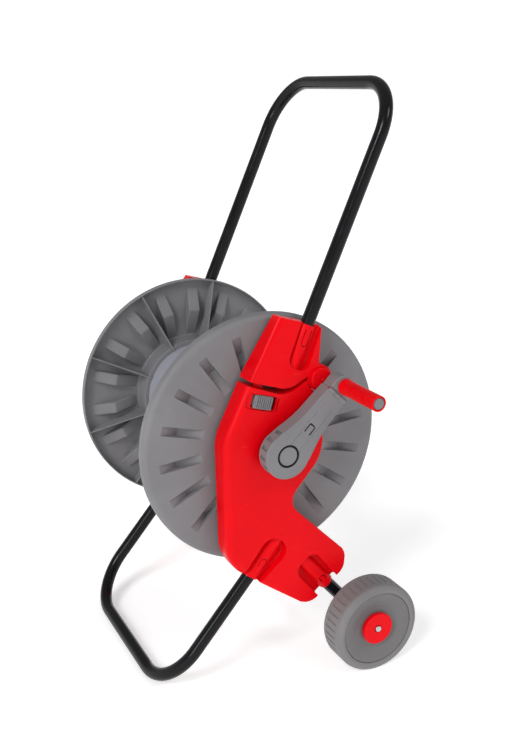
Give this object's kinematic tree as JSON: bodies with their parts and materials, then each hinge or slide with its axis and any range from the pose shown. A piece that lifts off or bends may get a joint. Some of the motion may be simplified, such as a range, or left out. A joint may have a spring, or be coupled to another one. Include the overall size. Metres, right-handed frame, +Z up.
{
  "type": "garden hose reel cart",
  "caption": "Two-wheeled garden hose reel cart: a cranked reel between moulded side frames, with a folding tube handle and a tube stand.",
  "frame": {"origin": "on the ground, straight below the middle of the reel axis", "axes": "+X to the rear, towards the wheels; -Y towards the crank side, along the reel axis; +Z up"},
  "size_m": [0.408, 0.5559, 0.885],
  "materials": {
    "red_plastic": "satin moulded plastic",
    "grey_plastic": "matte moulded plastic",
    "dark_plastic": "matte moulded plastic",
    "black_plastic": "matte moulded plastic",
    "black_steel": "gloss black paint",
    "bright_steel": "bright zinc plated",
    "tyre_grey": "matte moulded plastic with a fine grain",
    "seal_rubber": "soft rubber"
  },
  "bodies": {
    "root": {"side_frame_near": "red_plastic", "side_frame_far": "red_plastic", "frame_cover_near": "red_plastic", "frame_cover_far": "red_plastic", "frame_screws": "bright_steel", "reel_bush_near": "black_plastic", "reel_bush_far": "black_plastic", "stand_tube": "black_steel", "leg_near": "black_steel", "leg_far": "black_steel", "axle_rod": "bright_steel", "axle_spacers": "black_plastic", "latch_spring_near": "bright_steel", "latch_spring_far": "bright_steel"},
    "latch_near": {"latch_slider_near": "grey_plastic"},
    "latch_far": {"latch_slider_far": "grey_plastic"},
    "handle": {"bracket_near": "red_plastic", "bracket_far": "red_plastic", "bracket_cover_near": "red_plastic", "bracket_cover_far": "red_plastic", "bracket_screws": "bright_steel", "handle_tube": "black_steel", "hinge_pin_near": "red_plastic", "hinge_pin_far": "red_plastic"},
    "reel": {"flange_near": "grey_plastic", "flange_far": "grey_plastic", "drum": "grey_plastic", "flange_screws": "bright_steel", "drive_stub": "grey_plastic", "water_stub": "grey_plastic", "drum_pipe": "grey_plastic", "hose_spout": "grey_plastic", "crank_arm": "grey_plastic", "crank_ring": "black_plastic", "crank_cap": "grey_plastic", "crank_bolt": "bright_steel", "inlet_nut": "dark_plastic"},
    "crank_end": {"crank_end": "grey_plastic", "crank_fold_pin": "bright_steel", "grip_spindle": "bright_steel", "grip_cap": "grey_plastic"},
    "grip": {"crank_grip": "red_plastic"},
    "inlet": {"inlet_elbow": "dark_plastic", "inlet_seals": "seal_rubber", "inlet_tail": "dark_plastic"},
    "wheel_near": {"tyre_near": "tyre_grey", "wheel_disc_near": "dark_plastic", "hub_cap_near": "red_plastic"},
    "wheel_far": {"tyre_far": "tyre_grey", "wheel_disc_far": "dark_plastic", "hub_cap_far": "red_plastic"}
  },
  "joints": [
    {"name": "handle_fold", "type": "hinge", "parent": "root", "child": "handle", "pos_m": [0.068, 0, 0.47], "axis": [0, 1, 0], "range_deg": [0, 145]},
    {"name": "latch_near_slide", "type": "slide", "parent": "root", "child": "latch_near", "axis": [0.9613, 0, -0.2756], "range_m": [0, 0.006], "stiffness_N_per_m": 300, "springref_m": -0.004},
    {"name": "latch_far_slide", "type": "slide", "parent": "root", "child": "latch_far", "axis": [0.9613, 0, -0.2756], "range_m": [0, 0.006], "stiffness_N_per_m": 300, "springref_m": -0.004},
    {"name": "reel_spin", "type": "hinge", "parent": "root", "child": "reel", "pos_m": [0, 0, 0.373], "axis": [0, 1, 0], "continuous": true},
    {"name": "crank_fold", "type": "hinge", "parent": "reel", "child": "crank_end", "pos_m": [0.07766, -0.2175, 0.45231], "axis": [0.7145, 0, -0.6997], "range_deg": [0, 90]},
    {"name": "grip_spin", "type": "hinge", "parent": "crank_end", "child": "grip", "pos_m": [0.08886, -0.26, 0.46374], "axis": [0, 1, 0], "continuous": true},
    {"name": "inlet_swivel", "type": "hinge", "parent": "root", "child": "inlet", "pos_m": [0, 0.2, 0.373], "axis": [0, 1, 0], "continuous": true},
    {"name": "wheel_near_spin", "type": "hinge", "parent": "root", "child": "wheel_near", "pos_m": [0.146, -0.222, 0.072], "axis": [0, 1, 0], "continuous": true},
    {"name": "wheel_far_spin", "type": "hinge", "parent": "root", "child": "wheel_far", "pos_m": [0.146, 0.222, 0.072], "axis": [0, 1, 0], "continuous": true}
  ]
}
